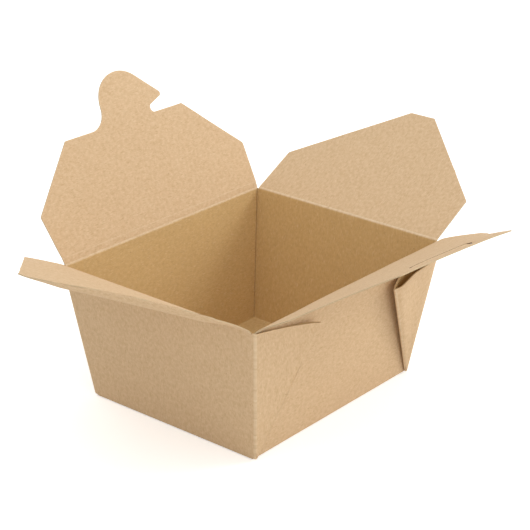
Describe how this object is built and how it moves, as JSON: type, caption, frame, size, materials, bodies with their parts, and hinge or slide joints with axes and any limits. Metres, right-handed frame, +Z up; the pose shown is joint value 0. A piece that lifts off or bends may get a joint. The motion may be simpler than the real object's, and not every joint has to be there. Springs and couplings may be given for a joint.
{
  "type": "takeaway box",
  "caption": "Folded kraft board food box with flared walls, folded corner webs, a hooked tongue flap, a slotted flap and two house-shaped end flaps, all standing open.",
  "frame": {"origin": "centre of the base, on the surface the box stands on", "axes": "+Z up; +X along the two long walls, from the left end flap towards the right end flap; +Y from the slot flap towards the tongue flap"},
  "size_m": [0.2555, 0.1938, 0.1274],
  "materials": {
    "kraft_board": "uncoated brown kraft board with fine fibre flecks"
  },
  "bodies": {
    "tray": {"tray": "kraft_board"},
    "tongue_flap": {"tongue_flap": "kraft_board"},
    "slot_flap": {"slot_flap": "kraft_board"},
    "left_end_flap": {"left_end_flap": "kraft_board"},
    "right_end_flap": {"right_end_flap": "kraft_board"}
  },
  "joints": [
    {"name": "tongue_flap_crease", "type": "hinge", "parent": "tray", "child": "tongue_flap", "pos_m": [0, 0.05225, 0.064], "axis": [1, 0, 0], "range_deg": [-94, 114.5]},
    {"name": "slot_flap_crease", "type": "hinge", "parent": "tray", "child": "slot_flap", "pos_m": [0, -0.05225, 0.064], "axis": [-1, 0, 0], "range_deg": [-63, 149.5]},
    {"name": "left_end_flap_crease", "type": "hinge", "parent": "tray", "child": "left_end_flap", "pos_m": [-0.065, 0, 0.063], "axis": [0, 1, 0], "range_deg": [-78, 157.6]},
    {"name": "right_end_flap_crease", "type": "hinge", "parent": "tray", "child": "right_end_flap", "pos_m": [0.065, 0, 0.063], "axis": [0, -1, 0], "range_deg": [-82, 152.4]}
  ]
}
